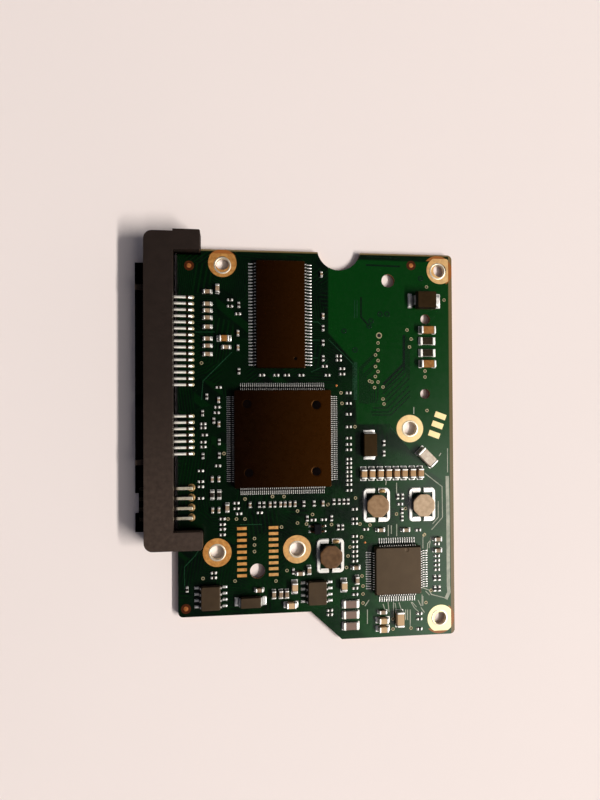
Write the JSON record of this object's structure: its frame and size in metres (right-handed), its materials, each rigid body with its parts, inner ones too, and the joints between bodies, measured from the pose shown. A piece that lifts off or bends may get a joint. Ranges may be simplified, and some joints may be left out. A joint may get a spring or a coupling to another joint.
{
  "type": "hard drive circuit board",
  "caption": "Green controller circuit board of a hard disk drive with an edge connector, moulded chips, drum inductors, screw holes and gold contact pads.",
  "frame": {"origin": "axis of the datum screw hole, on the underside of the board", "axes": "+Z out of the component side, +Y along the longer side towards the notched edge, +X away from the drive connector"},
  "size_m": [0.0663, 0.0834, 0.0056],
  "materials": {
    "solder_mask": "green solder mask over glass laminate",
    "gold": "thin gold plating",
    "housing_plastic": "glass filled moulding",
    "contact_plating": "bright plating",
    "chip_mould": "fine matte moulding",
    "tin_plating": "tinned and soldered",
    "ferrite": "pressed ferrite, coated",
    "winding_wire": "enamelled copper wire",
    "capacitor_ceramic": "fired ceramic",
    "resistor_glaze": "dark glaze",
    "sensor_ceramic": "fired ceramic"
  },
  "bodies": {
    "root": {"bare_board": "solder_mask", "screw_lands": "gold", "head_contact_pads": "gold", "motor_contact_pads": "gold", "connector_housing": "housing_plastic", "power_contacts": "contact_plating", "signal_contacts": "contact_plating", "jumper_pins": "contact_plating", "inductor_drums": "ferrite", "inductor_coils": "winding_wire", "inductor_frames": "tin_plating", "shock_sensor_body": "sensor_ceramic", "shock_sensor_ends": "tin_plating", "controller_body": "chip_mould", "controller_leads": "tin_plating", "memory_body": "chip_mould", "memory_leads": "tin_plating", "motor_driver_body": "chip_mould", "motor_driver_leads": "tin_plating", "firmware_chip_body": "chip_mould", "firmware_chip_leads": "tin_plating", "switch_chip_body": "chip_mould", "switch_chip_leads": "tin_plating", "array_chip_body": "chip_mould", "array_chip_leads": "tin_plating", "surge_diode_body": "chip_mould", "surge_diode_leads": "tin_plating", "upper_rectifier_body": "chip_mould", "upper_rectifier_leads": "tin_plating", "lower_rectifier_body": "chip_mould", "lower_rectifier_leads": "tin_plating", "capacitor_1206_bodies": "capacitor_ceramic", "capacitor_1206_ends": "tin_plating", "capacitor_0805_bodies": "capacitor_ceramic", "capacitor_0805_ends": "tin_plating", "capacitor_0603_bodies": "capacitor_ceramic", "capacitor_0603_ends": "tin_plating", "capacitor_0402_bodies": "capacitor_ceramic", "capacitor_0402_ends": "tin_plating", "resistor_1206_bodies": "resistor_glaze", "resistor_1206_ends": "tin_plating", "resistor_0603_bodies": "resistor_glaze", "resistor_0603_ends": "tin_plating", "resistor_0402_bodies": "resistor_glaze", "resistor_0402_ends": "tin_plating"}
  },
  "joints": []
}
